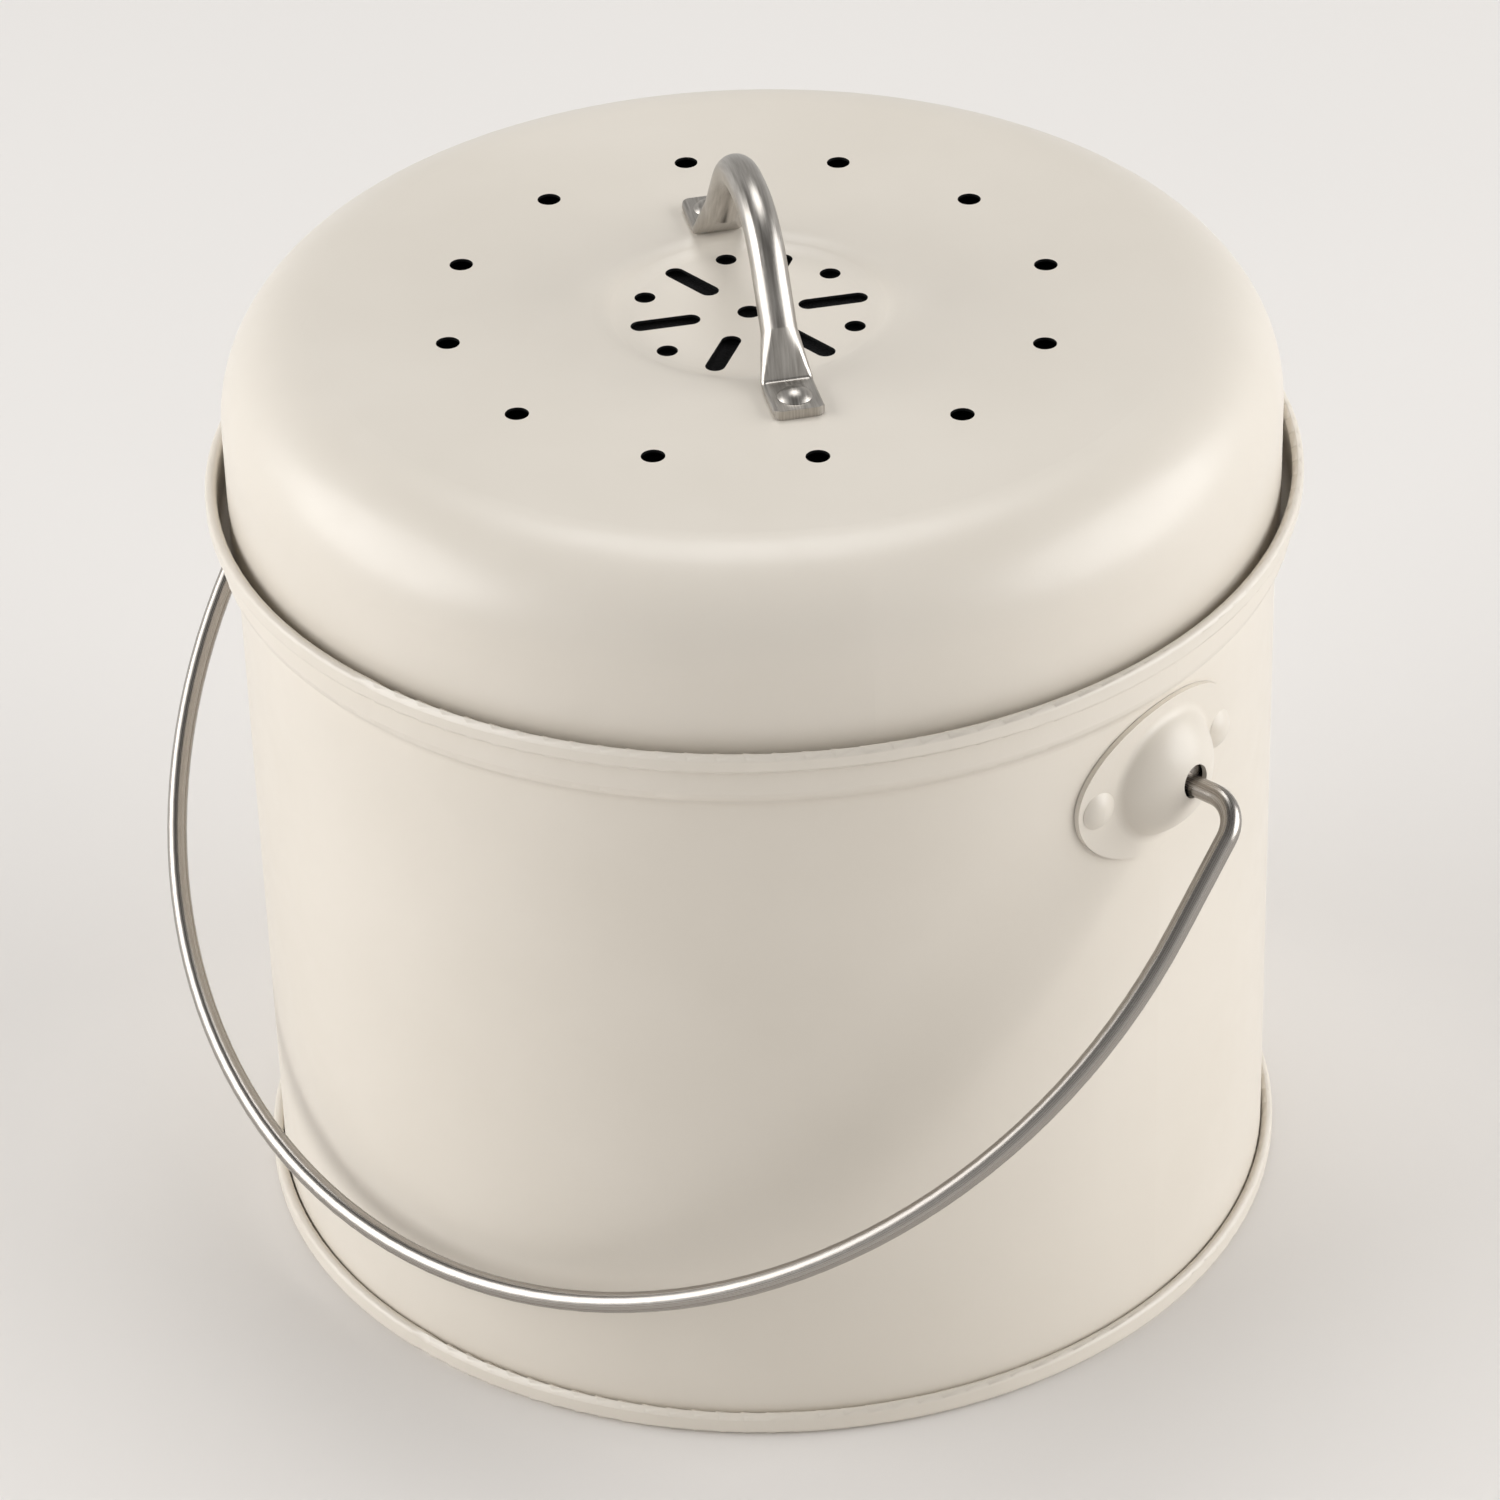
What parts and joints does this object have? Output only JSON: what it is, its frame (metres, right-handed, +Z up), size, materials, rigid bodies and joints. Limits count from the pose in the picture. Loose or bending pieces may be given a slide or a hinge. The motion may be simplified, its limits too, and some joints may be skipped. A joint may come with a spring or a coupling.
{
  "type": "compost bin",
  "caption": "Round countertop compost bin of painted sheet steel with a vented lift-off lid, a filter under the lid, a tube lid handle and a swinging wire bail.",
  "frame": {"origin": "centre of the base on the surface it stands on", "axes": "+Z up, +X along the bail's pivot axis through the two ears, the bail hangs toward -Y"},
  "size_m": [0.242, 0.2135, 0.2204],
  "materials": {
    "cream_paint": "satin gloss powder coat",
    "steel": "polished",
    "clip_steel": "brushed",
    "carbon_pad": "matt non-woven"
  },
  "bodies": {
    "bin": {"bin_wall": "cream_paint", "base_pan": "cream_paint", "ear_right": "cream_paint", "ear_left": "cream_paint", "ear_rivets": "cream_paint"},
    "bail": {"bail_handle": "steel"},
    "lid": {"lid_shell": "cream_paint", "lid_handle": "steel", "lid_handle_rivets": "steel", "lid_rivet_washers": "clip_steel", "charcoal_filter": "carbon_pad", "filter_clip_1": "clip_steel", "filter_clip_2": "clip_steel", "filter_clip_3": "clip_steel", "filter_clip_4": "clip_steel"}
  },
  "joints": [
    {"name": "lid_lift", "type": "slide", "parent": "bin", "child": "lid", "axis": [0, 0, 1], "range_m": [0, 0.15]},
    {"name": "bail_swing", "type": "hinge", "parent": "bin", "child": "bail", "pos_m": [0, 0, 0.128], "axis": [-1, 0, 0], "range_deg": [-2.3, 267.8]}
  ]
}
